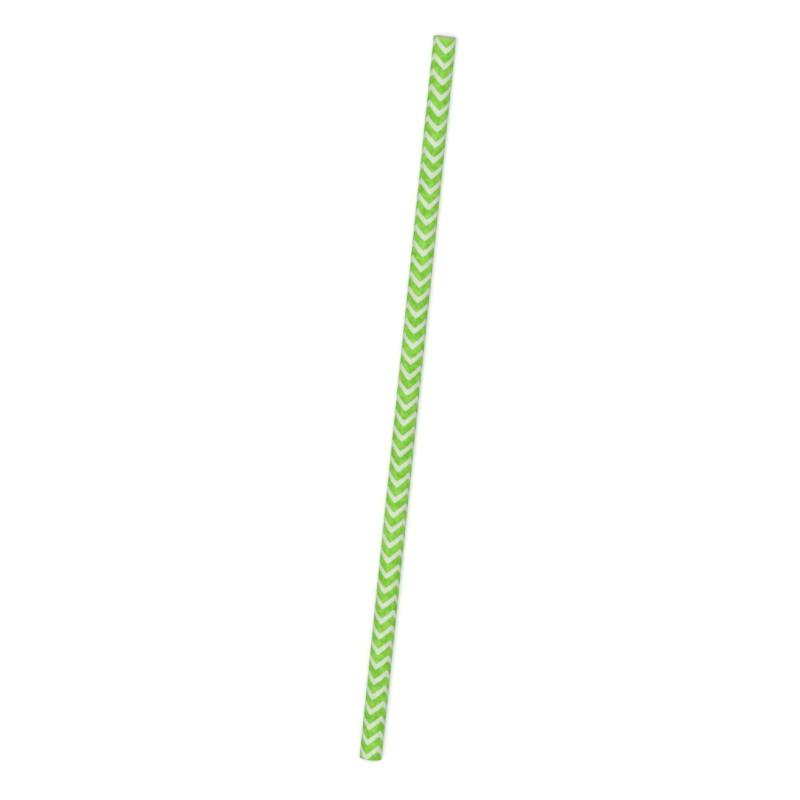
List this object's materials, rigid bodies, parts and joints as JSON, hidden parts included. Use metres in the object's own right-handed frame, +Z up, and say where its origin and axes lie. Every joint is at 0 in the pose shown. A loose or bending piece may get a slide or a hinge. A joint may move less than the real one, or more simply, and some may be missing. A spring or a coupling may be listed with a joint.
{
  "type": "paper drinking straw",
  "caption": "Straight spiral-wound paper drinking straw, open at both ends, with a green and white zigzag print.",
  "frame": {"origin": "middle of the straw's length, straight below its axis, on the surface that it lies on", "axes": "+X along the straw towards the drinking end, +Z up through the front of the print"},
  "size_m": [0.197, 0.006, 0.006],
  "materials": {
    "printed_paper": "matt coated paper, lime-green zigzags printed on off-white"
  },
  "bodies": {
    "root": {"straw": "printed_paper"}
  },
  "joints": []
}
